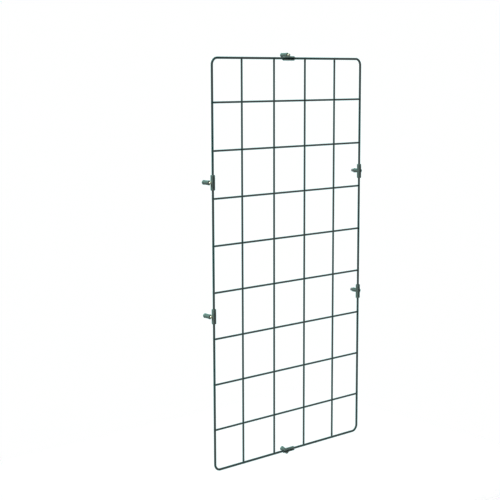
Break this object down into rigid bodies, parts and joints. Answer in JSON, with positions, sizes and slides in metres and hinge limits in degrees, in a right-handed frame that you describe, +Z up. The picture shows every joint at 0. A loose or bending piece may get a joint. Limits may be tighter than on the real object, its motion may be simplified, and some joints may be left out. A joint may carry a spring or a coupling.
{
  "type": "trellis panel",
  "caption": "Rectangular coated-wire trellis panel with rounded corners, held off the wall by push-on stand-off clips with wall plugs and screws.",
  "frame": {"origin": "middle of the panel on the plane of the wall, at the back faces of the stand-off tubes", "axes": "+Z up along the longer side, +X to the right along the shorter side seen from the front, +Y into the wall"},
  "size_m": [0.5218, 0.0379, 1.021],
  "materials": {
    "wire_coating": "smooth satin plastic coating",
    "clip_plastic": "moulded, satin",
    "plug_nylon": "moulded nylon, dull",
    "screw_zinc": "yellowish zinc plating"
  },
  "bodies": {
    "panel": {"frame_loop": "wire_coating", "upright_1": "wire_coating", "upright_2": "wire_coating", "upright_3": "wire_coating", "upright_4": "wire_coating", "cross_wire_1": "wire_coating", "cross_wire_2": "wire_coating", "cross_wire_3": "wire_coating", "cross_wire_4": "wire_coating", "cross_wire_5": "wire_coating", "cross_wire_6": "wire_coating", "cross_wire_7": "wire_coating", "cross_wire_8": "wire_coating"},
    "top_clip": {"clip_top": "clip_plastic"},
    "top_plug": {"wall_plug_top": "plug_nylon"},
    "top_screw": {"screw_top": "screw_zinc"},
    "bottom_clip": {"clip_bottom": "clip_plastic"},
    "bottom_plug": {"wall_plug_bottom": "plug_nylon"},
    "bottom_screw": {"screw_bottom": "screw_zinc"},
    "left_upper_clip": {"clip_left_upper": "clip_plastic"},
    "left_upper_plug": {"wall_plug_left_upper": "plug_nylon"},
    "left_upper_screw": {"screw_left_upper": "screw_zinc"},
    "left_lower_clip": {"clip_left_lower": "clip_plastic"},
    "left_lower_plug": {"wall_plug_left_lower": "plug_nylon"},
    "left_lower_screw": {"screw_left_lower": "screw_zinc"},
    "right_upper_clip": {"clip_right_upper": "clip_plastic"},
    "right_upper_plug": {"wall_plug_right_upper": "plug_nylon"},
    "right_upper_screw": {"screw_right_upper": "screw_zinc"},
    "right_lower_clip": {"clip_right_lower": "clip_plastic"},
    "right_lower_plug": {"wall_plug_right_lower": "plug_nylon"},
    "right_lower_screw": {"screw_right_lower": "screw_zinc"}
  },
  "joints": [
    {"name": "top_swivel", "type": "hinge", "parent": "panel", "child": "top_clip", "pos_m": [-0.0055, -0.025, 0.49775], "axis": [1, 0, 0], "continuous": true},
    {"name": "top_plug_slide", "type": "slide", "parent": "top_clip", "child": "top_plug", "axis": [0, 1, 0], "range_m": [0, 0.012]},
    {"name": "top_screw_turn", "type": "hinge", "parent": "top_clip", "child": "top_screw", "pos_m": [-0.0055, -0.025, 0.50565], "axis": [0, 1, 0], "continuous": true},
    {"name": "bottom_swivel", "type": "hinge", "parent": "panel", "child": "bottom_clip", "pos_m": [-0.004, -0.025, -0.49775], "axis": [1, 0, 0], "continuous": true},
    {"name": "bottom_plug_slide", "type": "slide", "parent": "bottom_clip", "child": "bottom_plug", "axis": [0, 0.9781, 0.2079], "range_m": [0, 0.012]},
    {"name": "bottom_screw_turn", "type": "hinge", "parent": "bottom_clip", "child": "bottom_screw", "pos_m": [-0.004, -0.02336, -0.50548], "axis": [0, 0.9781, 0.2079], "continuous": true},
    {"name": "left_upper_swivel", "type": "hinge", "parent": "panel", "child": "left_upper_clip", "pos_m": [-0.24775, -0.025, 0.2074], "axis": [0, 0, 1], "continuous": true},
    {"name": "left_upper_plug_slide", "type": "slide", "parent": "left_upper_clip", "child": "left_upper_plug", "axis": [0, 1, 0], "range_m": [-0.0014, 0.0106]},
    {"name": "left_upper_screw_turn", "type": "hinge", "parent": "left_upper_clip", "child": "left_upper_screw", "pos_m": [-0.25565, -0.025, 0.2074], "axis": [0, 1, 0], "continuous": true},
    {"name": "left_lower_swivel", "type": "hinge", "parent": "panel", "child": "left_lower_clip", "pos_m": [-0.24775, -0.025, -0.1138], "axis": [0, 0, 1], "continuous": true},
    {"name": "left_lower_plug_slide", "type": "slide", "parent": "left_lower_clip", "child": "left_lower_plug", "axis": [0, 1, 0], "range_m": [-0.0027, 0.0093]},
    {"name": "left_lower_screw_turn", "type": "hinge", "parent": "left_lower_clip", "child": "left_lower_screw", "pos_m": [-0.25565, -0.025, -0.1138], "axis": [0, 1, 0], "continuous": true},
    {"name": "right_upper_swivel", "type": "hinge", "parent": "panel", "child": "right_upper_clip", "pos_m": [0.24775, -0.025, 0.2074], "axis": [0, 0, 1], "continuous": true},
    {"name": "right_upper_plug_slide", "type": "slide", "parent": "right_upper_clip", "child": "right_upper_plug", "axis": [0, 1, 0], "range_m": [-0.0081, 0.0039]},
    {"name": "right_upper_screw_turn", "type": "hinge", "parent": "right_upper_clip", "child": "right_upper_screw", "pos_m": [0.25565, -0.025, 0.2074], "axis": [0, 1, 0], "continuous": true},
    {"name": "right_lower_swivel", "type": "hinge", "parent": "panel", "child": "right_lower_clip", "pos_m": [0.24775, -0.025, -0.1138], "axis": [0, 0, 1], "continuous": true},
    {"name": "right_lower_plug_slide", "type": "slide", "parent": "right_lower_clip", "child": "right_lower_plug", "axis": [0, 1, 0], "range_m": [-0.0072, 0.0048]},
    {"name": "right_lower_screw_turn", "type": "hinge", "parent": "right_lower_clip", "child": "right_lower_screw", "pos_m": [0.25565, -0.025, -0.1138], "axis": [0, 1, 0], "continuous": true}
  ]
}
